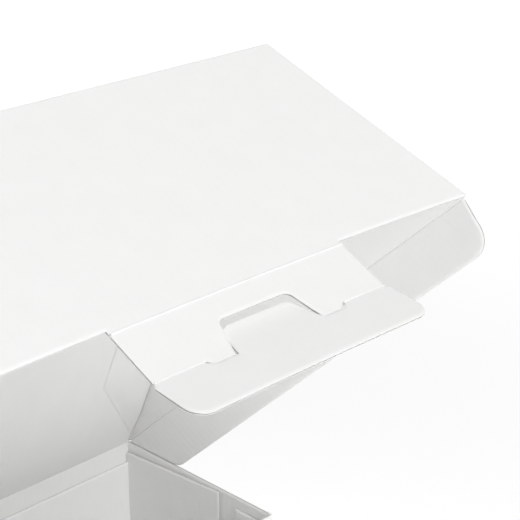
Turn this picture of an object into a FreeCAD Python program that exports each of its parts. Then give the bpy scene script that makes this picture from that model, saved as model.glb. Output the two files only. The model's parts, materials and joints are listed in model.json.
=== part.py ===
import FreeCAD, Part
import Sketcher
import math
import os

# Flip-top magazine file folded from white E-flute corrugated board, standing on its base.
# X runs along the width, Y towards the back, Z up. The origin is the middle of the base.
# A low glued tray carries a tall hood: upper back, lid and two slanted side gussets, glued as
# one corner. The hood turns on the crease at the top of the tray's back wall. It is built
# upright here and then leaned forward to its rest angle. The lid ends in a front flap with a
# thumb slot and a tuck flap with a tongue, and each gusset ends in a stiffening flange.
# Every panel is drawn on its inner face and padded outwards by the board's thickness.

SIZES = [
    ("board", 1.5),              # thickness of the board
    ("width", 240.0),            # outside, along X
    ("depth", 98.0),             # outside, along Y
    ("rim", 76.0),               # height of the tray
    ("back_height", 242.0),      # tray rim to the lid's inner face
    ("lid_depth", 96.0),         # upper back's inner face to the lid's cut front edge
    ("flare", 14.0),             # each gusset stands this much further out at A and B than at C
    ("crease_step", 1.7),        # the front flap's crease lies this far in front of the cut edge
    ("crease_gap", 0.6),         # half the gap at the hood crease
    ("fold_gap", 0.45),          # half the gap at a flap's crease
    ("skin_gap", 0.3),           # clearance between panels that pass close by each other
    ("flap_half", 50.0),         # front flap
    ("flap_length", 21.0),
    ("slot_top_half", 15.0),
    ("slot_end_half", 19.3),
    ("slot_top", 9.3),           # crease to the slot's upper edge
    ("lobe_in", 27.0),           # ears of the front flap beside the slot
    ("lobe_out", 30.0),
    ("lobe_drop", 2.2),
    ("slot_corner", 3.0),
    ("tuck_half", 51.0),         # tuck flap
    ("tuck_length", 20.0),
    ("tuck_corner", 6.5),
    ("tongue_length", 9.6),
    ("tongue_corner", 4.5),
    ("flange_front", 20.3),      # flange width beside the lid
    ("flange_rear", 23.5),       # flange width beside the tray
    ("flange_corner", 9.0),
    ("flange_start", 2.5),
    ("web_width", 30.0),         # glue web on the upper back
    ("web_start", 8.0),
    ("web_foot", 58.0),
    ("web_top", 225.0),
    ("rear_tab", 64.5),          # tray corner tabs
    ("rear_tab_low", 5.0),
    ("rear_tab_high", 0.8),
    ("front_tab", 20.0),
    ("liner_drop", 10.0),        # rim to the rear liner's top edge
    ("bottom_flap", 40.0),
]
HOOD_LEAN = 26.25                # degrees forward of upright at rest
TUCK_TILT = 17.5                 # degrees the tuck flap stands up from the front flap's plane
FLANGE_FOLD = 10.0               # degrees each flange is folded inwards

Vector = FreeCAD.Vector
doc = FreeCAD.newDocument("magazine_file")
sheet = doc.addObject("Spreadsheet::Sheet", "Sizes")
for row, (alias, value) in enumerate(SIZES, start=1):
    sheet.set("A%d" % row, str(value))
    sheet.setAlias("A%d" % row, alias)
doc.recompute()
size = {alias: float(value) for alias, value in SIZES}
made = []


def cell(text):
    """Turn words into an expression on the sheet's cells."""
    for alias in sorted(size, key=len, reverse=True):
        text = text.replace("[%s]" % alias, "Sizes." + alias)
    return text


def number(text):
    """Work out the same expression here, as a sketch's first guess."""
    return float(sheet.evalExpression(cell(text).replace("Sizes.", "")))


def frame(origin, x_way, y_way):
    """Placement whose local x and y run along two directions at right angles."""
    x_way = Vector(*x_way).normalize()
    y_way = Vector(*y_way).normalize()
    z_way = x_way.cross(y_way)
    return FreeCAD.Placement(Vector(*origin), FreeCAD.Rotation(x_way, y_way, z_way, "ZXY"))


def draw_outline(sketch, points):
    """Closed outline whose corners are held from the sketch's axes by expressions."""
    spots = [Vector(number(x), number(y), 0) for x, y in points]
    count = len(spots)
    for i in range(count):
        sketch.addGeometry(Part.LineSegment(spots[i], spots[(i + 1) % count]), False)
    for i in range(count):
        sketch.addConstraint(Sketcher.Constraint("Coincident", i, 2, (i + 1) % count, 1))
    for i, (x, y) in enumerate(points):
        for kind, text, axis in (("DistanceX", x, -2), ("DistanceY", y, -1)):
            if text == "0":
                sketch.addConstraint(Sketcher.Constraint("PointOnObject", i, 1, axis))
                continue
            index = sketch.addConstraint(Sketcher.Constraint(kind, -1, 1, i, 1, number(text)))
            sketch.setExpression("Constraints[%d]" % index, cell(text))


def panel(name, placement, points, rounded=(), outwards=True):
    """One board panel: an outline padded by the board, with some corners rounded.

    rounded holds (corner number, alias of the radius). outwards=False pads towards local -z.
    """
    body = doc.addObject("PartDesign::Body", name)
    body.Label = name
    sketch = body.newObject("Sketcher::SketchObject", name + "_outline")
    plane = [f for f in body.Origin.OriginFeatures if f.Role == "XY_Plane"][0]
    sketch.AttachmentSupport = [(plane, "")]
    sketch.MapMode = "FlatFace"
    draw_outline(sketch, points)
    pad = body.newObject("PartDesign::Pad", name + "_board")
    pad.Profile = sketch
    pad.setExpression("Length", "Sizes.board")
    pad.Reversed = not outwards
    doc.recompute()
    tip = pad
    for step, (corner, radius) in enumerate(rounded):
        x, y = (number(text) for text in points[corner])
        edges = []
        for i, edge in enumerate(tip.Shape.Edges, start=1):
            ends = [(v.X, v.Y) for v in edge.Vertexes]
            if len(ends) == 2 and all(math.hypot(a - x, b - y) < 0.001 for a, b in ends):
                edges.append("Edge%d" % i)
        if len(edges) != 1:
            raise RuntimeError("no single edge at corner %d of %s" % (corner, name))
        fillet = body.newObject("PartDesign::Fillet", "%s_corner%d" % (name, step))
        fillet.Base = (tip, edges)
        fillet.setExpression("Radius", "Sizes." + radius)
        doc.recompute()
        tip = fillet
    body.Tip = tip
    body.Placement = placement
    made.append(body)
    return body


def rectangle(length, height):
    return [("0", "0"), (length, "0"), (length, height), ("0", height)]


def mirrored_pair(name, build):
    for side, sign in (("right", 1), ("left", -1)):
        build("%s_%s" % (name, side), sign)


# ---------------------------------------------------------------- tray
board = size["board"]
half_width = size["width"] / 2
half_depth = size["depth"] / 2
inner_x = half_width - board
inner_y = half_depth - board
rim = size["rim"]


def build_tray():
    panel("bottom_panel", frame((-inner_x, -inner_y, 0), (1, 0, 0), (0, 1, 0)),
          rectangle("[width] - 2*[board]", "[depth] - 2*[board]"))
    panel("back_wall", frame((-half_width, inner_y, 0), (0, 0, 1), (1, 0, 0)),
          rectangle("[rim] - [crease_gap]", "[width]"))
    panel("front_wall", frame((-half_width, -half_depth, 0), (0, 0, 1), (1, 0, 0)),
          rectangle("[rim]", "[width]"))
    panel("rear_liner", frame((-inner_x + board, inner_y, 2 * board), (0, 0, 1), (1, 0, 0)),
          rectangle("[rim] - [liner_drop] - 2*[board]", "[width] - 4*[board]"), outwards=False)
    mirrored_pair("side_wall", build_side_wall)
    mirrored_pair("rear_corner_tab", build_rear_tab)
    mirrored_pair("front_corner_tab", build_front_tab)
    mirrored_pair("bottom_flap", build_bottom_flap)


def build_side_wall(name, sign):
    panel(name, frame((sign * inner_x, -inner_y, 0), (0, 1, 0), (0, 0, 1)),
          rectangle("[depth] - 2*[board]", "[rim]"), outwards=sign > 0)


def build_rear_tab(name, sign):
    """Glue tab from the back wall, lapped inside the side wall, with a slanted top edge."""
    points = [("0", "0"), ("[rear_tab]", "0"),
              ("[rear_tab]", "[rim] - [rear_tab_high] - 2*[board]"),
              ("0", "[rim] - [rear_tab_low] - 2*[board]")]
    panel(name, frame((sign * inner_x, inner_y, 2 * board), (0, -1, 0), (0, 0, 1)),
          points, outwards=sign > 0)


def build_front_tab(name, sign):
    panel(name, frame((sign * inner_x, -inner_y, 2 * board), (0, 1, 0), (0, 0, 1)),
          rectangle("[front_tab]", "[rim] - [rear_tab_low] - 2*[board]"), outwards=sign < 0)


def build_bottom_flap(name, sign):
    """Flap from a side wall's foot, lying on the bottom panel."""
    start = inner_x - size["bottom_flap"] if sign > 0 else -inner_x
    panel(name, frame((start, -inner_y, board), (1, 0, 0), (0, 1, 0)),
          rectangle("[bottom_flap]", "[depth] - 2*[board]"))


# ---------------------------------------------------------------- hood
hinge_line = Vector(0, half_depth, rim)
lean = FreeCAD.Placement(Vector(), FreeCAD.Rotation(Vector(1, 0, 0), HOOD_LEAN), hinge_line)
lid_height = rim + size["back_height"]
cut_edge_y = inner_y - size["lid_depth"]
flap_crease_y = cut_edge_y - size["crease_step"]
corner_x = inner_x - size["flare"]


def build_hood():
    build_upper_back()
    build_lid()
    mirrored_pair("side_gusset", build_gusset)
    mirrored_pair("glue_web", build_web)


def build_upper_back():
    """Trapezoid, narrower at the lid, between the gussets."""
    points = [("[crease_gap]", "[skin_gap]"),
              ("[crease_gap]", "[width] - 2*[board] - [skin_gap]"),
              ("[back_height]", "[width] - 2*[board] - [flare] - [skin_gap]"),
              ("[back_height]", "[flare] + [skin_gap]")]
    panel("upper_back", lean * frame((-inner_x, inner_y, rim), (0, 0, 1), (1, 0, 0)), points)


def build_lid():
    """Lid over the upper back and the gussets, with a step forward to the flap's crease."""
    left, right = "[width]/2 - [flap_half]", "[width]/2 + [flap_half]"
    step, rear = "[crease_step]", "[crease_step] + [lid_depth] + [board]"
    points = [("0", step), (left, step), (left, "[fold_gap]"), (right, "[fold_gap]"),
              (right, step), ("[width]", step), ("[width] - [flare]", rear), ("[flare]", rear)]
    panel("lid_panel", lean * frame((-half_width, flap_crease_y, lid_height), (1, 0, 0), (0, 1, 0)),
          points)


# Gusset triangle, from its top rear corner C: A is the lid's front corner, B the tray's rear
# corner. Local x runs from C to A. Both are expressions in the sheet's cells.
GUSSET_TOP = "sqrt([lid_depth]^2 + [flare]^2)"
B_ALONG = "([flare]^2/%s)" % GUSSET_TOP
B_DOWN = "sqrt([flare]^2 + [back_height]^2 - %s^2)" % B_ALONG
GUSSET_EDGE = "sqrt([lid_depth]^2 + [back_height]^2)"
EDGE_INSET = "([fold_gap]*%s/%s)" % (GUSSET_EDGE, B_DOWN)


def gusset_corners(sign):
    """A, B and C on the gusset's inner face, with the hood upright."""
    corner_a = Vector(sign * inner_x, cut_edge_y, lid_height)
    corner_b = Vector(sign * inner_x, inner_y, rim)
    corner_c = Vector(sign * corner_x, inner_y, lid_height)
    return corner_a, corner_b, corner_c


def build_gusset(name, sign):
    corner_a, corner_b, corner_c = gusset_corners(sign)
    along = (corner_a - corner_c).normalize()
    down = corner_b - corner_c
    down = down - along * down.dot(along)
    origin = corner_c - along * board
    top, slope = "[skin_gap]", "(%s - %s)/%s" % (GUSSET_TOP, B_ALONG, B_DOWN)
    points = [("0", top),
              ("[board] + %s - %s - %s*%s" % (GUSSET_TOP, EDGE_INSET, top, slope), top),
              ("[board] + %s - %s" % (B_ALONG, EDGE_INSET), B_DOWN),
              (B_ALONG, B_DOWN)]
    panel(name, lean * frame(origin, along, down), points, outwards=sign > 0)


def build_web(name, sign):
    """Glue web on the upper back's inner face, running out to nothing at B."""
    corner_a, corner_b, corner_c = gusset_corners(sign)
    up = (corner_c - corner_b).normalize()
    inwards = Vector(0, 1, 0).cross(up) * -sign
    origin = corner_b + inwards * size["skin_gap"]
    points = [("[web_start]", "0"), ("[web_foot]", "[web_width]"),
              ("[web_top] - [web_width]", "[web_width]"), ("[web_top]", "0")]
    panel(name, lean * frame(origin, up, inwards), points, outwards=sign > 0)


def build_flange(name, sign):
    """Flange on a gusset's slanted edge from B to A. Its rear end is cut along the tray's rim."""
    corner_a, corner_b, corner_c = gusset_corners(sign)
    along = (corner_a - corner_b).normalize()
    away = corner_b - corner_c
    away = (away - along * away.dot(along)).normalize()
    fold = FreeCAD.Placement(Vector(), FreeCAD.Rotation(along, -sign * FLANGE_FOLD), corner_b)
    rise = math.degrees(math.atan2(size["back_height"], size["lid_depth"])) - HOOD_LEAN
    rim_run = "[flange_start] + [flange_rear]/%.6f" % math.tan(math.radians(rise))
    end = "%s - 2*[fold_gap]" % GUSSET_EDGE
    points = [("[flange_start]", "[fold_gap]"), (end, "[fold_gap]"),
              (end, "[flange_front]"), (rim_run, "[flange_rear]")]
    panel(name, lean * fold * frame(corner_b, along, away), points,
          rounded=((2, "flange_corner"), (3, "flange_corner")), outwards=sign > 0)


# ---------------------------------------------------------------- front flaps
def build_front_flap():
    """Flap from the lid's crease to the tuck crease, around a thumb slot that is open below."""
    half, low = "[flap_half]", "[flap_length] - [fold_gap]"
    ear = "[flap_length] + [lobe_drop]"
    right = [("[slot_top_half]", "[slot_top]"), ("[slot_end_half]", ear), ("[lobe_in]", ear),
             ("[lobe_out]", low), (half, low), (half, "[fold_gap]")]
    points = both_halves(right, half)
    panel("front_flap", lean * frame((-size["flap_half"], flap_crease_y, lid_height),
                                     (1, 0, 0), (0, -1, 0)),
          points, rounded=((0, "slot_corner"), (len(points) - 1, "slot_corner")), outwards=False)


def build_tuck_flap():
    """Tuck flap with rounded outer corners, and a tongue that stands in the front flap's slot."""
    half = "[tuck_half]"
    crease = "[tongue_length] + [fold_gap]"
    recess = "[tongue_length] + [lobe_drop] + [fold_gap]"
    taper = "([slot_end_half] - [slot_top_half])/([flap_length] + [lobe_drop] - [slot_top])"
    root_half = "[slot_end_half] - 2*[skin_gap]"
    tongue_half = "%s - %s*([tongue_length] + [lobe_drop])" % (root_half, taper)
    right = [(tongue_half, "0"),
             (root_half, recess), ("[lobe_in] + 2*[skin_gap]", recess),
             ("[lobe_out] + 2*[skin_gap]", crease), ("[flap_half]", crease),
             (half, "[tongue_length] + 4*[fold_gap]"),
             (half, "[tongue_length] + [tuck_length]")]
    points = both_halves(right, half)
    middle = len(right)
    tuck_crease = Vector(0, flap_crease_y - size["flap_length"], lid_height)
    tilt = FreeCAD.Placement(Vector(), FreeCAD.Rotation(Vector(1, 0, 0), -TUCK_TILT), tuck_crease)
    origin = tuck_crease + Vector(-size["tuck_half"], size["tongue_length"], 0)
    panel("tuck_flap", lean * tilt * frame(origin, (1, 0, 0), (0, -1, 0)), points,
          rounded=((0, "tongue_corner"), (len(points) - 1, "tongue_corner"),
                   (middle - 1, "tuck_corner"), (middle, "tuck_corner")), outwards=False)


def both_halves(right, half):
    """Outline from its right half: x is counted from the middle, then shifted to be positive."""
    rightwards = [("%s + (%s)" % (half, x), y) for x, y in right]
    leftwards = [("0" if x == half else "%s - (%s)" % (half, x), y) for x, y in reversed(right)]
    return rightwards + leftwards


build_tray()
build_hood()
mirrored_pair("side_flange", build_flange)
build_front_flap()
build_tuck_flap()
doc.recompute()

for item in doc.Objects:
    if "Invalid" in item.State or "Error" in item.State:
        raise RuntimeError("%s is %s" % (item.Name, item.State))
os.makedirs("parts", exist_ok=True)
for body in made:
    shape = body.Shape
    if shape.isNull() or not shape.isValid() or len(shape.Solids) != 1:
        raise RuntimeError("%s has no valid solid" % body.Label)
    shape.exportStep("parts/%s.step" % body.Label)
    box = shape.BoundBox
    print("%-24s %9.1f mm3  x %.1f..%.1f y %.1f..%.1f z %.1f..%.1f" % (
        body.Label, shape.Volume, box.XMin, box.XMax, box.YMin, box.YMax, box.ZMin, box.ZMax))
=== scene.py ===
import json
import math

import bpy
import numpy as np
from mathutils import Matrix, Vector


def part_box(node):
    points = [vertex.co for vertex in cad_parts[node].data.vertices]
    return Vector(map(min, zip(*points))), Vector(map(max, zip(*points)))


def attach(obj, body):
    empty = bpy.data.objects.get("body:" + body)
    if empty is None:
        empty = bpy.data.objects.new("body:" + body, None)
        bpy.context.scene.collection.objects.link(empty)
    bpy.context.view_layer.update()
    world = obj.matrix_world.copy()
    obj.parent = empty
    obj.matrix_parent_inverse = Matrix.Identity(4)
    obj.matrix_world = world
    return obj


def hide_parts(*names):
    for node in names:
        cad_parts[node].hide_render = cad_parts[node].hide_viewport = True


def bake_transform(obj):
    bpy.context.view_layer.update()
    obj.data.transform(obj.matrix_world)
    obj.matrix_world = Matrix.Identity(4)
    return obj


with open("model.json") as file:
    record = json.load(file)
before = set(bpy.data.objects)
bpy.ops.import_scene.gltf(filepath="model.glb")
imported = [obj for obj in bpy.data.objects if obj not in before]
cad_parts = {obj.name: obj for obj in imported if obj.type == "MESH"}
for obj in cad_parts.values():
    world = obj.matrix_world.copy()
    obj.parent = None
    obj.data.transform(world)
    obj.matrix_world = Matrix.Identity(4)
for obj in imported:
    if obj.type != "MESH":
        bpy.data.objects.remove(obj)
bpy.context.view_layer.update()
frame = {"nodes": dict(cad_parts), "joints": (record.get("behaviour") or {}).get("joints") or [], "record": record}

# A flip-top magazine file of white E-flute board, in metres. Every CAD panel is replaced by the corrugated board
# it stands for: two paper liners with a wavy fluted sheet between them, built inside the panel's own outline.
# Folds that don't move are round corners. Folds that move are crease strips laid across the gap between two
# bodies.

BOARD = 0.0015            # thickness
LINER = 0.00024           # thickness of each paper liner
MEDIUM = 0.00020          # thickness of the fluted sheet
PITCH = 0.0034            # from one flute to the next
DIP = 0.000045            # how far a liner sinks between flute tips
STEPS = 8                 # mesh columns in one flute
BOW = 0.0017              # rise of the lid's front edge at its middle
PULL_BACK = 0.5           # how far the bowed edge draws back, as a share of its rise
TONGUE_LIFT = 0.0013      # how far the tongue's tip is bent up
TONGUE_BEND = 0.0055      # length of the bent part
CRUSH_RUN = 0.009         # width over which a glued web is crushed thin towards its edge
CRUSH_MOST = 0.86         # share of its thickness that it loses at that edge
PINCH = 0.5               # share of its thickness that a die-cut edge loses
PINCH_RUN = 0.0011        # width of the pinched edge
JOINED = 0.0024           # an outline edge this near a fold isn't a cut edge
CURL = 0.0009             # how far the flange turns outwards beside the lid's front corner
CURL_RUN = 0.030          # length of the turned part
CURL_WIDTH = 0.022        # distance from the flange's crease at which it has turned by CURL
NEAR = 1e-6               # lengths under this count as nothing
LEVEL = 1e-5              # points whose heights differ by less than this lie in one plane
PARALLEL = 0.95           # edges count as parallel when the cosine between them is over this
SIDE_LEAST = 0.003        # a side along the flutes longer than this gets columns of its own
OUTER_PART = 0.1          # beyond this distance from the middle lie only the lid's own corners
FLAP_HALF = 0.051         # half the front flap's width
EAR_INNER = 0.0285        # where the ears beside the tongue begin, from the middle
EAR_MOST = 0.035          # the ears end before this distance from the middle
EAR_LEAST = 0.045         # the flaps' outer corners lie beyond this one
FLAP_MARGIN = 0.0003      # the flap's crease strips stop this far inside its sides
FLANGE_FOOT = 0.003       # a flange's crease strip starts this far from the flange's foot
FLANGE_TOP = 0.0015       # and ends this far from the lid's corner
FLANGE_GAP = 0.00045      # from the corner line to each edge of that strip
FLANGE_DENT = 0.00045     # depth of the score on its inner side
FLOOR_DROP = 0.0002       # how far the floor lies below the box
FLOOR_GLOW_NEAR = 0.31    # strength of the floor's glow under the box
FLOOR_GLOW_FAR = 0.60     # and further out
GLOW_START, GLOW_END = 0.3, 1.1     # between these distances it rises
WORLD_STRENGTH = 0.32
LAMPS = (                 # name, place, target, size, power
    ("front", (-0.15, -1.65, 1.17), (0, 0, 0.08), 0.75, 17.0),
    ("top", (-0.2, 0.45, 2.1), (0, 0, 0.2), 1.4, 11.0),
)
CAMERA_PLACE = (-0.3059, -0.4599, 0.4380)
CAMERA_TARGET = (0.0838, -0.0764, 0.2162)
CAMERA_LENS = 106.7


def vec(*xyz):
    return np.array(xyz, float)


def unit(v):
    return v / np.linalg.norm(v)


# ---------------------------------------------------------------- panel planes, read from the frame
class Panel:
    """A CAD panel's inner face: its outline, its outward normal and a plane through it."""

    def __init__(self, name, inside):
        mesh = frame["nodes"][name].data
        mesh.calc_loop_triangles()
        corners = np.array([v.co for v in mesh.vertices], float)
        triangles = np.array([t.vertices for t in mesh.loop_triangles])
        sides = corners[triangles]
        cross = np.cross(sides[:, 1] - sides[:, 0], sides[:, 2] - sides[:, 0])
        widest = cross[np.argmax(np.linalg.norm(cross, axis=1))]
        self.name = name
        self.normal = unit(widest)
        if (corners.mean(0) - inside) @ self.normal < 0:
            self.normal = -self.normal
        heights = corners @ self.normal
        low = heights.min()
        flat = [t for t in triangles if np.all(np.abs(heights[t] - low) < LEVEL)]
        self.outline = boundary(corners, flat)
        self.point = self.outline[0]

    def clip(self, point, away):
        """Cut off whatever lies beyond a point in direction away."""
        away = unit(away)
        kept = []
        count = len(self.outline)
        for i in range(count):
            here, after = self.outline[i], self.outline[(i + 1) % count]
            a, b = (here - point) @ away, (after - point) @ away
            if a <= NEAR:
                kept.append(here)
            if (a > NEAR and b < -NEAR) or (a < -NEAR and b > NEAR):
                kept.append(here + (after - here) * (a / (a - b)))
        self.outline = kept


def boundary(corners, triangles):
    """The outline of some triangles, as a loop of points."""
    keys = {}

    def key(i):
        spot = tuple(np.round(corners[i] * 1e6).astype(int))
        keys.setdefault(spot, corners[i])
        return spot

    used = {}
    for t in triangles:
        spots = [key(i) for i in t]
        for a, b in zip(spots, spots[1:] + spots[:1]):
            if (b, a) in used:
                del used[(b, a)]
            else:
                used[(a, b)] = True
    following = {a: b for a, b in used}
    start = next(iter(following))
    loop = [start]
    while following[loop[-1]] != start:
        loop.append(following[loop[-1]])
    points = [keys[s] for s in loop]
    count = len(points)
    kept = []
    for i in range(count):
        before, here, after = points[i - 1], points[i], points[(i + 1) % count]
        if np.linalg.norm(np.cross(here - before, after - here)) > 1e-10:
            kept.append(here)
    return kept


# ---------------------------------------------------------------- corrugated board
def spans(flat, at_low, at_high):
    """Stretches of a flat outline between two columns, each as (f at low, f at high) twice."""
    middle = (at_low + at_high) / 2
    found = []
    count = len(flat)
    for i in range(count):
        (s0, f0), (s1, f1) = flat[i], flat[(i + 1) % count]
        if (s0 - middle) * (s1 - middle) < 0:
            slope = (f1 - f0) / (s1 - s0)
            found.append((f0 + slope * (middle - s0), f0 + slope * (at_low - s0),
                          f0 + slope * (at_high - s0)))
    found.sort()
    return [(found[i][1], found[i][2], found[i + 1][1], found[i + 1][2])
            for i in range(0, len(found) - 1, 2)]


def uncovered(mine, theirs):
    """The parts of intervals that other intervals leave free."""
    left = list(mine)
    for low, high in theirs:
        rest = []
        for a, b in left:
            if low > a + NEAR:
                rest.append((a, min(b, low)))
            if high < b - NEAR:
                rest.append((max(a, high), b))
        left = [(a, b) for a, b in rest if b - a > NEAR]
    return left


def layers(s):
    """Low and high surface of the inner liner, fluted sheet and outer liner, across the flutes."""
    wave = math.cos(2 * math.pi * s / PITCH)
    inner = DIP * (1 + wave) / 2
    outer = BOARD - DIP * (1 - wave) / 2
    middle = BOARD / 2 + wave * (BOARD / 2 - LINER - DIP / 2 - MEDIUM / 2)
    return [(inner, inner + LINER), (middle - MEDIUM / 2, middle + MEDIUM / 2),
            (outer - LINER, outer)]


def row_stops(start, end, rows):
    """Stations along a flute, close together at its two ends where the board is pinched."""
    length = end - start
    run = min(PINCH_RUN, length * 0.12)
    ends = [run * k for k in (0, 0.5, 1, 1.6, 2.4)]
    free = length - 2 * ends[-1]
    even = [start + ends[-1] + free * row / rows for row in range(1, rows)]
    return [start + k for k in ends] + even + [end - k for k in ends[::-1]]


def segment_gap(points, start, end):
    """Distance from each point to a segment."""
    run = end - start
    k = np.clip((points - start) @ run / (run @ run), 0, 1)
    return np.linalg.norm(points - start - k[:, None] * run, axis=1)


def pinch(panel):
    """Die-cut edges are pressed thinner. Edges at a fold keep their thickness."""
    cuts = []
    count = len(panel.outline)
    for i in range(count):
        a, b = panel.outline[i], panel.outline[(i + 1) % count]
        middle = ((a + b) / 2)[None]
        beside = [p for p, q in fold_lines if segment_gap(middle, p, q)[0] < JOINED
                  and abs(unit(q - p) @ unit(b - a)) > PARALLEL]
        if not beside:
            cuts.append((a, b))

    def press(points):
        if not cuts:
            return points
        height = (points - panel.point) @ panel.normal
        base = points - height[:, None] * panel.normal
        near = np.min([segment_gap(base, a, b) for a, b in cuts], axis=0)
        share = PINCH * (1 - np.clip(near / PINCH_RUN, 0, 1)) ** 2
        return points + ((BOARD / 2 - height) * share)[:, None] * panel.normal
    return press


def stations(flat):
    """Columns across the flutes: at each corner of a flat outline, each flute step and cut side."""
    low, high = min(s for s, f in flat), max(s for s, f in flat)
    step = PITCH / STEPS
    stops = [s for s, f in flat]
    stops += [i * step for i in range(math.ceil(low / step), math.floor(high / step) + 1)]
    count = len(flat)
    for i in range(count):
        (s0, f0), (s1, f1) = flat[i], flat[(i + 1) % count]
        if abs(s1 - s0) < NEAR and abs(f1 - f0) > SIDE_LEAST:
            stops += [s0 + k for k in (-PINCH_RUN, -PINCH_RUN / 2, PINCH_RUN / 2, PINCH_RUN)
                      if low < s0 + k < high]
    columns = []
    for s in sorted(stops):
        if not columns or s - columns[-1] > NEAR * 2:
            columns.append(s)
    return columns


class BoardMesh:
    """Points and faces of one corrugated board, laid out in columns across its flutes."""

    def __init__(self, origin, across, along, normal):
        self.axes = origin, across, along, normal
        self.points, self.faces, self.slots = [], [], []

    def corner(self, s, f, height):
        origin, across, along, normal = self.axes
        self.points.append(origin + across * s + along * f + normal * height)
        return len(self.points) - 1

    def add(self, quad, layer):
        """A face of one layer. The middle layer is the fluted sheet, in slot 1."""
        self.faces.append(quad)
        self.slots.append(1 if layer == 1 else 0)

    def column(self, a, b, stretch, rows):
        """All three layers between two stations, over one stretch of the outline."""
        f0a, f0b, f1a, f1b = stretch
        for layer, ((la, ha), (lb, hb)) in enumerate(zip(layers(a), layers(b))):
            grid = []
            for fa, fb in zip(row_stops(f0a, f1a, rows), row_stops(f0b, f1b, rows)):
                grid.append((self.corner(a, fa, la), self.corner(b, fb, lb),
                             self.corner(b, fb, hb), self.corner(a, fa, ha)))
            for near, far in zip(grid, grid[1:]):
                self.add((near[0], far[0], far[1], near[1]), layer)
                self.add((near[3], near[2], far[2], far[3]), layer)
            self.add(grid[0], layer)
            self.add(grid[-1][::-1], layer)

    def side(self, s, gaps, facing):
        """The cut side at one station, facing 1 or -1 across the flutes."""
        for f0, f1 in gaps:
            for layer, (la, ha) in enumerate(layers(s)):
                quad = (self.corner(s, f0, la), self.corner(s, f1, la),
                        self.corner(s, f1, ha), self.corner(s, f0, ha))
                self.add(quad[::facing], layer)


def board(panel, body, flutes, warp=None, rows=1):
    """Replace a CAD panel with corrugated board whose flutes run along one direction."""
    normal, origin = panel.normal, panel.point
    along = unit(flutes - normal * (flutes @ normal))
    across = np.cross(along, normal)
    flat = [((p - origin) @ across, (p - origin) @ along) for p in panel.outline]
    columns = stations(flat)
    cells = [spans(flat, a, b) for a, b in zip(columns, columns[1:])]
    mesh = BoardMesh(origin, across, along, normal)
    for a, b, stretches in zip(columns, columns[1:], cells):
        for stretch in stretches:
            mesh.column(a, b, stretch, rows)
    for index, s in enumerate(columns):
        before = [(c[1], c[3]) for c in cells[index - 1]] if index > 0 else []
        after = [(c[0], c[2]) for c in cells[index]] if index < len(cells) else []
        mesh.side(s, uncovered(before, after), 1)
        mesh.side(s, uncovered(after, before), -1)
    pinched = pinch(panel)
    bend = pinched if warp is None else lambda spots: warp(pinched(spots))
    piece = new_piece("board." + panel.name, mesh.points, mesh.faces, bend, mesh.slots,
                      (white_board, fluting))
    finish_piece(piece, body)
    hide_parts(panel.name)


def new_piece(name, points, faces, warp=None, slots=None, materials=()):
    """A mesh object from points and faces. Points that coincide are joined."""
    spots = np.array(points)
    if warp is not None:
        spots = warp(spots)
    keys, where, kept = {}, [], []
    for spot, key in zip(spots, map(tuple, np.round(spots * 2e7).astype(np.int64))):
        if key not in keys:
            keys[key] = len(kept)
            kept.append(spot)
        where.append(keys[key])
    polygons, indices = [], []
    for number, face in enumerate(faces):
        loop = [where[i] for i in face]
        loop = [v for i, v in enumerate(loop) if v != loop[i - 1]]
        if len(loop) > 2 and len(set(loop)) == len(loop):
            polygons.append(loop)
            indices.append(slots[number] if slots else 0)
    mesh = bpy.data.meshes.new(name)
    mesh.from_pydata([tuple(p) for p in kept], [], polygons)
    mesh.update()
    for material in materials:
        mesh.materials.append(material)
    mesh.polygons.foreach_set("material_index", indices)
    piece = bpy.data.objects.new(name, mesh)
    bpy.context.scene.collection.objects.link(piece)
    return piece


def finish_piece(piece, body=None, sharp=35):
    piece.data.polygons.foreach_set("use_smooth", [True] * len(piece.data.polygons))
    piece.data.set_sharp_from_angle(angle=math.radians(sharp))
    piece.data.update()
    if body is not None:
        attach(piece, body)


# ---------------------------------------------------------------- folds
def ring_faces(ring, long):
    """Quads between rings of points, and a face on each end."""
    faces = []
    for i in range(long):
        for j in range(ring):
            a, b = i * ring + j, i * ring + (j + 1) % ring
            faces.append((a, b, b + ring, a + ring))
    faces.append(tuple(range(ring))[::-1])
    faces.append(tuple(long * ring + j for j in range(ring)))
    return faces


def round_fold(name, body, start, end, normal_a, normal_b):
    """The outer liner's round turn between two boards that meet along an inner corner."""
    turn = math.acos(np.clip(normal_a @ normal_b, -1, 1))
    arcs = max(4, round(math.degrees(turn) / 9))
    long = max(2, round(np.linalg.norm(end - start) / 0.004))
    points = []
    for i in range(long + 1):
        spot = start + (end - start) * i / long
        points.append(spot)
        for j in range(arcs + 1):
            k = j / arcs
            way = (math.sin((1 - k) * turn) * normal_a + math.sin(k * turn) * normal_b)
            points.append(spot + unit(way) * BOARD)
    # the round turn gets the lighter scored paper, whose extra brightness is a painted highlight
    piece = new_piece("fold." + name, points, ring_faces(arcs + 2, long),
                      materials=(highlit_crease_paper,))
    finish_piece(piece, body)


def round_corner(name, body, centre):
    """The ball where three round folds meet."""
    bpy.ops.mesh.primitive_uv_sphere_add(segments=24, ring_count=12, radius=BOARD,
                                         location=tuple(centre))
    piece = bpy.context.object
    piece.name = "corner." + name
    piece.data.name = piece.name
    piece.data.materials.append(highlit_crease_paper)
    finish_piece(piece, body, sharp=180)


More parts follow.
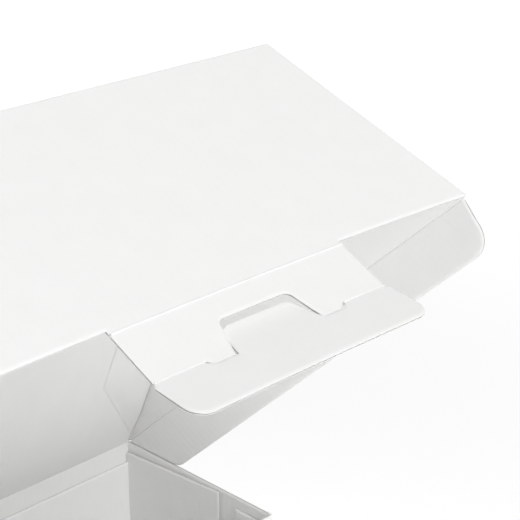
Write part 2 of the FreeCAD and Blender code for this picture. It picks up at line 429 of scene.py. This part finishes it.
def crease(name, parent_line, parent_normal, child_line, child_normal,
           warp=None, ridge=0.0001, dent=0.0002, paper_used=None):
    """A strip of scored board that fills a moving fold, curving from one body's edge to the other's."""
    across = 8
    # by default the strip gets the lighter scored paper, whose extra brightness is a painted highlight
    paper_used = paper_used or highlit_crease_paper
    long = max(2, round(np.linalg.norm(parent_line[1] - parent_line[0]) / 0.003))
    points = []
    for i in range(long + 1):
        k = i / long
        near = parent_line[0] + (parent_line[1] - parent_line[0]) * k
        far = child_line[0] + (child_line[1] - child_line[0]) * k
        inner, outer = [], []
        for j in range(across + 1):
            m = j / across
            normal = unit(parent_normal * (1 - m) + child_normal * m)
            swell = math.sin(math.pi * m) ** 2
            base = near + (far - near) * m
            inner.append(base + normal * dent * swell)
            outer.append(base + normal * (BOARD + ridge * swell))
        points += inner + outer[::-1]
    piece = new_piece("crease." + name, points, ring_faces(2 * (across + 1), long), warp,
                      materials=(paper_used,))
    finish_piece(piece)
    middle = BOARD / 2
    start = (parent_line[0] + parent_line[1]) / 2 + parent_normal * middle
    end = (child_line[0] + child_line[1]) / 2 + child_normal * middle
    if warp is not None:
        start, end = warp(np.array([start, end]))
    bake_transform(piece)


# ---------------------------------------------------------------- materials
def node_material(name):
    material = bpy.data.materials.new(name)
    material.use_nodes = True
    return material, material.node_tree.nodes, material.node_tree.links


def ramp_node(nodes, low, high):
    """A colour ramp between two stops, each (position, colour)."""
    ramp = nodes.new("ShaderNodeValToRGB")
    for element, (position, colour) in zip(ramp.color_ramp.elements, (low, high)):
        element.position = position
        element.color = (*colour, 1)
    return ramp


def specked(nodes, links, place, colour, amount_of_specks):
    """A colour with small darker specks scattered over it."""
    dots = nodes.new("ShaderNodeTexVoronoi")
    dots.inputs["Scale"].default_value = 34
    links.new(place.outputs["Object"], dots.inputs["Vector"])
    near = ramp_node(nodes, (0.004, (1, 1, 1)), (0.008, (0, 0, 0)))
    amount = nodes.new("ShaderNodeMath")
    amount.operation = "MULTIPLY"
    amount.inputs[1].default_value = amount_of_specks
    tint = nodes.new("ShaderNodeMix")
    tint.data_type = "RGBA"
    tint.inputs["B"].default_value = (0.42, 0.40, 0.36, 1)
    links.new(dots.outputs["Distance"], near.inputs["Fac"])
    links.new(near.outputs["Color"], amount.inputs[0])
    links.new(amount.outputs[0], tint.inputs["Factor"])
    links.new(colour, tint.inputs["A"])
    return tint.outputs["Result"]


def paper(name, light, dark, rough, fibre_size, tooth, specks=0.0):
    """Uncoated white paper: cloudy formation, fine fibres, a few specks and a rough tooth."""
    material, nodes, links = node_material(name)
    shader = nodes["Principled BSDF"]
    shader.inputs["Specular IOR Level"].default_value = 0.25
    place = nodes.new("ShaderNodeTexCoord")
    clouds = nodes.new("ShaderNodeTexNoise")
    clouds.inputs["Scale"].default_value = 90
    clouds.inputs["Detail"].default_value = 5
    fibres = nodes.new("ShaderNodeTexNoise")
    fibres.inputs["Scale"].default_value = fibre_size
    fibres.inputs["Detail"].default_value = 6
    fibres.inputs["Distortion"].default_value = 1.5
    mixed = nodes.new("ShaderNodeMath")
    mixed.operation = "MULTIPLY_ADD"
    mixed.inputs[1].default_value = 0.5
    ramp = ramp_node(nodes, (0.35, dark), (0.75, light))
    half = nodes.new("ShaderNodeMath")
    half.operation = "MULTIPLY"
    half.inputs[1].default_value = 0.5
    for texture in (clouds, fibres):
        links.new(place.outputs["Object"], texture.inputs["Vector"])
    links.new(clouds.outputs["Fac"], half.inputs[0])
    links.new(fibres.outputs["Fac"], mixed.inputs[0])
    links.new(half.outputs[0], mixed.inputs[2])
    links.new(mixed.outputs[0], ramp.inputs["Fac"])
    colour = ramp.outputs["Color"]
    if specks:
        colour = specked(nodes, links, place, colour, specks)
    links.new(colour, shader.inputs["Base Color"])
    gloss = nodes.new("ShaderNodeMapRange")
    gloss.inputs["To Min"].default_value = rough - 0.06
    gloss.inputs["To Max"].default_value = rough + 0.08
    links.new(fibres.outputs["Fac"], gloss.inputs["Value"])
    links.new(gloss.outputs["Result"], shader.inputs["Roughness"])
    bump = nodes.new("ShaderNodeBump")
    bump.inputs["Strength"].default_value = tooth
    bump.inputs["Distance"].default_value = 0.00004
    links.new(fibres.outputs["Fac"], bump.inputs["Height"])
    links.new(bump.outputs["Normal"], shader.inputs["Normal"])
    return material


white_board = paper("white_liner", (0.945, 0.945, 0.937), (0.918, 0.918, 0.910), 0.82, 1500, 0.35,
                    specks=0.35)
fluting = paper("fluted_sheet", (0.90, 0.895, 0.88), (0.84, 0.835, 0.82), 0.9, 900, 0.5)
# The scored paper is painted lighter than the liner: a painted highlight that stands in for the bright light along
# the ridges of folds and creases.
highlit_crease_paper = paper("scored_paper_painted_highlight", (0.975, 0.975, 0.972), (0.945, 0.945, 0.94), 0.7, 2200, 0.25)

# ---------------------------------------------------------------- planes of the hood and tray
TRAY_INSIDE = vec(0, 0, 0.04)
HOOD_INSIDE = vec(0, -0.05, 0.17)
SIDES = (("right", 1), ("left", -1))
BODY_OF = {node: body for body, nodes in frame["record"]["behaviour"]["bodies"].items()
           for node in nodes}
panels = {name: Panel(name, TRAY_INSIDE if body == "tray" else HOOD_INSIDE)
          for name, body in BODY_OF.items()}

lid, back = panels["lid_panel"], panels["upper_back"]
lid_back = unit(np.cross(lid.normal, vec(1, 0, 0)))       # along the lid, towards its rear edge
if lid_back[1] < 0:
    lid_back = -lid_back
flap, tuck = panels["front_flap"], panels["tuck_flap"]
tuck_down = unit(np.cross(tuck.normal, vec(1, 0, 0)))
if tuck_down[1] > 0:
    tuck_down = -tuck_down
HINGES = {joint["name"]: joint for joint in frame["joints"]}


def meet(*planes):
    """The point where three planes, each (point, normal), meet."""
    normals = np.array([n for p, n in planes])
    return np.linalg.solve(normals, [p @ n for p, n in planes])


def plane(panel):
    return panel.point, panel.normal


def lid_front(panel):
    """The lid's cut front edge: the outline's furthest points beside the flap's step."""
    ends = [p for p in panel.outline if abs(p[0]) > OUTER_PART]
    return min(ends, key=lambda p: p @ lid_back)


cut_edge = (lid_front(lid), lid_back)
rim_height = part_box("side_wall_right")[1].z
wall_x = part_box("side_wall_right")[0].x
wall_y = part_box("front_wall")[1].y
corners = {}              # A: lid's front corner, B: foot of the gusset, C: lid's rear corner
for side, _ in SIDES:
    gusset = panels["side_gusset_" + side]
    corners["C", side] = meet(plane(lid), plane(back), plane(gusset))
    corners["A", side] = meet(plane(lid), cut_edge, plane(gusset))
    corners["B", side] = vec(*HINGES[side + "_flange_crease"]["pos_m"])

half_lid = corners["A", "right"][0]


def bow(points):
    """Lift the lid's front edge and the flaps with it, most in the middle."""
    rise = np.clip((corners["C", "right"] - points) @ lid_back, 0, None)
    depth = (corners["C", "right"] - corners["A", "right"]) @ lid_back
    lift = BOW * np.clip(rise / depth, 0, 1) ** 1.5 * (1 - (points[:, 0] / half_lid) ** 2)
    return points + lift[:, None] * (lid.normal + PULL_BACK * lid_back)


def tongue(points):
    """The bow of the lid's edge, and the tongue's tip bent up beyond the flap's crease."""
    crease_line = vec(*HINGES["tuck_flap_crease"]["pos_m"])
    tip = max((crease_line - p) @ tuck_down for p in tuck.outline)
    past = np.clip((crease_line - points) @ tuck_down - tip + TONGUE_BEND, 0, None) / TONGUE_BEND
    return bow(points + (TONGUE_LIFT * past ** 2)[:, None] * tuck.normal)


def crush(web):
    """A glued web is pressed thin towards its free edges, so it fades into the back."""
    edges = []
    count = len(web.outline)
    for i in range(count):
        a, b = web.outline[i], web.outline[(i + 1) % count]
        inward = np.cross(web.normal, b - a)
        if (sum(web.outline) / count - a) @ inward < 0:
            inward = -inward
        if min(abs(a[0]), abs(b[0])) < OUTER_PART:
            edges.append((a, unit(inward)))

    def press(points):
        near = np.min([(points - a) @ inward for a, inward in edges], axis=0)
        share = 1 - np.clip(near / CRUSH_RUN, 0, 1)
        share = CRUSH_MOST * share * share * (3 - 2 * share)
        height = (points - web.point) @ web.normal
        return points + ((BOARD - height) * share)[:, None] * web.normal
    return press


def curl(side):
    """Turn the front end of a flange outwards."""
    away = unit(corners["A", side] - corners["B", side])
    end = corners["A", side] @ away
    normal = panels["side_flange_" + side].normal

    def turn(points):
        reach = np.clip((points @ away - end + CURL_RUN) / CURL_RUN, 0, 1.3)
        out = np.linalg.norm(np.cross(points - corners["B", side], away), axis=1)
        return points + (CURL * reach ** 2 * (out / CURL_WIDTH) ** 1.5)[:, None] * normal
    return turn


# every fold line, so that cut edges can be told from folded ones
fold_lines = [(corners["C", "left"], corners["C", "right"])]
for side, sign in SIDES:
    fold_lines += [(corners[a, side], corners[b, side]) for a, b in ("AB", "BC", "CA")]
    for way in (-1, 1):
        foot = vec(sign * wall_x, way * wall_y, 0)
        fold_lines += [(foot, foot + vec(0, 0, rim_height)), (foot, foot * vec(-1, 1, 1)),
                       (foot, foot * vec(1, -1, 1))]
for joint, ends in (("hood_crease", (-wall_x, wall_x)),
                    ("front_flap_crease", (-FLAP_HALF, FLAP_HALF)),
                    ("tuck_flap_crease", (-FLAP_HALF, -EAR_INNER)),
                    ("tuck_flap_crease", (EAR_INNER, FLAP_HALF))):
    spot = HINGES[joint]["pos_m"]
    fold_lines.append(tuple(vec(x, spot[1], spot[2]) for x in ends))

# ---------------------------------------------------------------- trims where folds are round
lid.clip(corners["C", "right"], lid_back)
for side, sign in SIDES:
    gusset, wall = panels["side_gusset_" + side], panels["side_wall_" + side]
    lid.clip(corners["C", side],
             np.cross(corners["C", side] - corners["A", side], lid.normal) * sign)
    gusset.clip(corners["C", side], back.normal)
    for name in ("front_wall", "back_wall"):
        panels[name].clip(vec(sign * wall_x, 0, 0), vec(sign, 0, 0))
    wall.clip(vec(0, 0, BOARD), vec(0, 0, -1))
for name in ("front_wall", "back_wall"):
    panels[name].clip(vec(0, 0, BOARD), vec(0, 0, -1))

# ---------------------------------------------------------------- boards
UP = vec(0, 0, 1)
back_up = unit(corners["C", "right"] + corners["C", "left"] - corners["B", "right"]
               - corners["B", "left"])
flutes = {"tray": UP, "hood": back_up, "front_flap": lid_back, "tuck_flap": lid_back}
for name, panel in panels.items():
    way = flutes.get(BODY_OF[name], lid_back)
    side = name.rsplit("_", 1)[1]
    warp, rows = None, 1
    if name.startswith("bottom"):
        way = vec(0, 1, 0)
    elif "gusset" in name or "flange" in name:
        way = unit(corners["C", side] - corners["A", side])
    elif name in ("lid_panel", "front_flap", "tuck_flap"):
        way = lid_back
        warp, rows = (tongue if name == "tuck_flap" else bow), 8
    if "glue_web" in name:
        warp, rows = crush(panel), 60
    if "flange" in name:
        warp, rows = curl(side), 6
    board(panel, BODY_OF[name], way, warp, rows)

# ---------------------------------------------------------------- folds that don't move
round_fold("lid_back", "hood", corners["C", "left"], corners["C", "right"],
           lid.normal, back.normal)
for side, sign in SIDES:
    gusset = panels["side_gusset_" + side]
    corner_a, corner_b, corner_c = (corners[k, side] for k in "ABC")
    round_fold("lid_" + side, "hood", corner_a, corner_c, lid.normal, gusset.normal)
    foot = corner_b + unit(corner_c - corner_b) * BOARD
    round_fold("back_" + side, "hood", foot, corner_c, gusset.normal, back.normal)
    round_corner("lid_" + side, "hood", corner_c)
    outward = vec(sign, 0, 0)
    for end, way in (("front", -1), ("back", 1)):
        low = vec(sign * wall_x, way * -wall_y, BOARD)
        high = vec(sign * wall_x, way * -wall_y, rim_height)
        if end == "back":
            high[2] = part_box("back_wall")[1].z
        round_fold("tray_%s_%s" % (end, side), "tray", low, high, outward, vec(0, way, 0))
        round_corner("tray_%s_%s" % (end, side), "tray", low)
    round_fold("foot_" + side, "tray", vec(sign * wall_x, wall_y, BOARD),
               vec(sign * wall_x, -wall_y, BOARD), outward, -UP)
for end, way in (("front", -1), ("back", 1)):
    round_fold("foot_" + end, "tray", vec(-wall_x, way * -wall_y, BOARD),
               vec(wall_x, way * -wall_y, BOARD), vec(0, way, 0), -UP)

# ---------------------------------------------------------------- folds that move


def edge_of(panel, way, from_end, to_end):
    """The outline's furthest line in one direction, between two stations along X."""
    reach = max(p @ way for p in panel.outline)
    spot = next(p for p in panel.outline if abs(p @ way - reach) < LEVEL)
    return [vec(x, spot[1], spot[2]) for x in (from_end, to_end)]


hood_low = edge_of(back, -back_up, -wall_x, wall_x)
wall_top = edge_of(panels["back_wall"], UP, -wall_x, wall_x)
crease("hood", wall_top, vec(0, 1, 0), hood_low, back.normal,
       paper_used=white_board)

flap_half = max(p[0] for p in flap.outline) - FLAP_MARGIN
lid_edge = edge_of(lid, -lid_back, -flap_half, flap_half)
flap_top = edge_of(flap, lid_back, -flap_half, flap_half)
crease("front_flap", lid_edge, lid.normal, flap_top, flap.normal, bow,
       ridge=0.00025)
ear_out = max(p[0] for p in flap.outline if abs(p[0]) < EAR_MOST)
flap_low = min((p for p in flap.outline if abs(p[0]) > EAR_LEAST), key=lambda p: p @ lid_back)
tuck_top = min((p for p in tuck.outline if abs(p[0]) > EAR_LEAST), key=lambda p: p @ tuck_down)
for side, sign in SIDES:
    ends = (sign * ear_out, sign * flap_half)
    lines = [[vec(x, spot[1], spot[2]) for x in ends[::sign]] for spot in (flap_low, tuck_top)]
    crease("tuck_" + side, lines[0], flap.normal, lines[1],
           tuck.normal, bow, ridge=0.0002)
    gusset, flange = panels["side_gusset_" + side], panels["side_flange_" + side]
    corner_a, corner_b = corners["A", side], corners["B", side]
    away = unit(corner_a - corner_b)
    stretch = (FLANGE_FOOT, np.linalg.norm(corner_a - corner_b) - FLANGE_TOP)
    into = np.cross(gusset.normal, away)
    if into @ (corners["C", side] - corner_b) < 0:
        into = -into
    out = np.cross(flange.normal, away)
    if out @ into > 0:
        out = -out
    lines = [[corner_b + away * k + shift * FLANGE_GAP for k in stretch] for shift in (into, out)]
    crease("flange_" + side, lines[0], gusset.normal, lines[1],
           flange.normal, dent=FLANGE_DENT, paper_used=white_board)

# ---------------------------------------------------------------- floor, light and camera


def floor_material():
    """White paper sweep, lit evenly: its glow makes up for the lamps' fall-off further out."""
    material, nodes, links = node_material("pale_floor")
    shader = nodes["Principled BSDF"]
    shader.inputs["Base Color"].default_value = (0.9, 0.9, 0.9, 1)
    shader.inputs["Roughness"].default_value = 0.9
    shader.inputs["Emission Color"].default_value = (1, 1, 1, 1)
    place = nodes.new("ShaderNodeTexCoord")
    far = nodes.new("ShaderNodeVectorMath")
    far.operation = "LENGTH"
    glow = nodes.new("ShaderNodeMapRange")
    glow.interpolation_type = "SMOOTHSTEP"
    for socket, value in (("From Min", GLOW_START), ("From Max", GLOW_END),
                          ("To Min", FLOOR_GLOW_NEAR), ("To Max", FLOOR_GLOW_FAR)):
        glow.inputs[socket].default_value = value
    links.new(place.outputs["Object"], far.inputs[0])
    links.new(far.outputs["Value"], glow.inputs["Value"])
    links.new(glow.outputs["Result"], shader.inputs["Emission Strength"])
    return material


bpy.ops.mesh.primitive_plane_add(size=12, location=(0, 0, -FLOOR_DROP))
floor = bpy.context.object
floor.name = "floor"
floor.data.materials.append(floor_material())


def aim(holder, target):
    way = Vector(target) - Vector(holder.location)
    holder.rotation_euler = way.to_track_quat("-Z", "Y").to_euler()


def area_light(name, place, target, size, power):
    lamp = bpy.data.lights.new(name, "AREA")
    lamp.shape = "DISK"
    lamp.size = size
    lamp.energy = power
    holder = bpy.data.objects.new(name, lamp)
    bpy.context.scene.collection.objects.link(holder)
    holder.location = place
    aim(holder, target)


for lamp_facts in LAMPS:
    area_light(*lamp_facts)
world = bpy.data.worlds.new("studio")
world.use_nodes = True
world.node_tree.nodes["Background"].inputs["Color"].default_value = (1, 1, 1, 1)
world.node_tree.nodes["Background"].inputs["Strength"].default_value = WORLD_STRENGTH
bpy.context.scene.world = world
bpy.context.scene.view_settings.view_transform = "Standard"

camera = bpy.data.cameras.new("camera")
camera.sensor_width = 36
camera.lens = CAMERA_LENS
camera_holder = bpy.data.objects.new("camera", camera)
bpy.context.scene.collection.objects.link(camera_holder)
camera_holder.location = CAMERA_PLACE
aim(camera_holder, CAMERA_TARGET)
bpy.context.scene.camera = camera_holder
